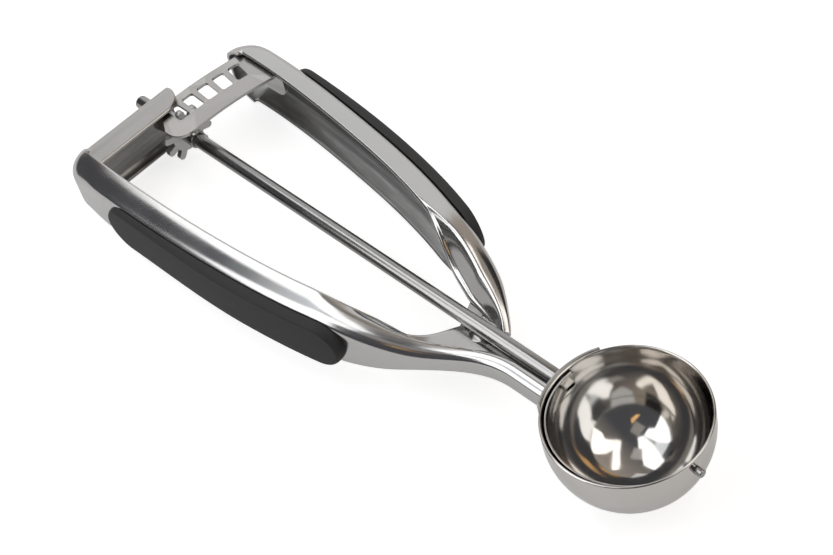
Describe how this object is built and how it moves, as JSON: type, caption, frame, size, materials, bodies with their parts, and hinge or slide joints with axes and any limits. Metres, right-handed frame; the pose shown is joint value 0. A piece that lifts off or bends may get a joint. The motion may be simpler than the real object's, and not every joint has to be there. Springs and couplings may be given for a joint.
{
  "type": "lever ice cream scoop",
  "caption": "Squeeze-handle ice cream scoop: hemispherical steel bowl with a rotating scraper blade, drive rod with rack and pinion, two channel handles with dark grip pads.",
  "frame": {"origin": "centre of the bowl's sphere, on the axis of the drive rod", "axes": "+X along the drive rod, out of the front of the bowl; +Z out of the bowl's mouth; +Y towards the squeezed lever"},
  "size_m": [0.2329, 0.0777, 0.0342],
  "materials": {
    "bowl_steel": "mirror polish with fine circular lines",
    "polished_steel": "polished stainless steel",
    "satin_steel": "fine satin stainless steel",
    "rod_steel": "bright drawn steel",
    "gear_steel": "plain matt steel",
    "grip": "matte dark grey-black"
  },
  "bodies": {
    "frame": {"bowl": "bowl_steel", "bowl_collar": "satin_steel", "fixed_handle": "polished_steel", "rear_bridge": "satin_steel", "fixed_grip": "grip", "pivot_rivet": "rod_steel", "pivot_washer": "gear_steel", "return_spring": "gear_steel", "spring_cup": "gear_steel"},
    "lever": {"lever_handle": "polished_steel", "lever_grip": "grip", "rack_plate": "satin_steel"},
    "drive": {"drive_rod": "rod_steel", "pinion": "gear_steel", "rod_collar": "rod_steel", "rod_spacer": "gear_steel", "scraper_blade": "bowl_steel", "blade_front_pin": "rod_steel"}
  },
  "joints": [
    {"name": "lever_pivot", "type": "hinge", "parent": "frame", "child": "lever", "pos_m": [-0.055, 0, -0.0058], "axis": [0, 0, 1], "range_deg": [0, 9.2], "stiffness_Nm_per_rad": 6, "springref_deg": -4.58, "deforming": ["return_spring"]},
    {"name": "rod_spin", "type": "hinge", "parent": "frame", "child": "drive", "pos_m": [-0.1, 0, 0], "axis": [1, 0, 0], "range_deg": [0, 128]}
  ],
  "couplings": [
    {"joint": "rod_spin", "follows": "lever_pivot", "ratio": 13.87}
  ]
}
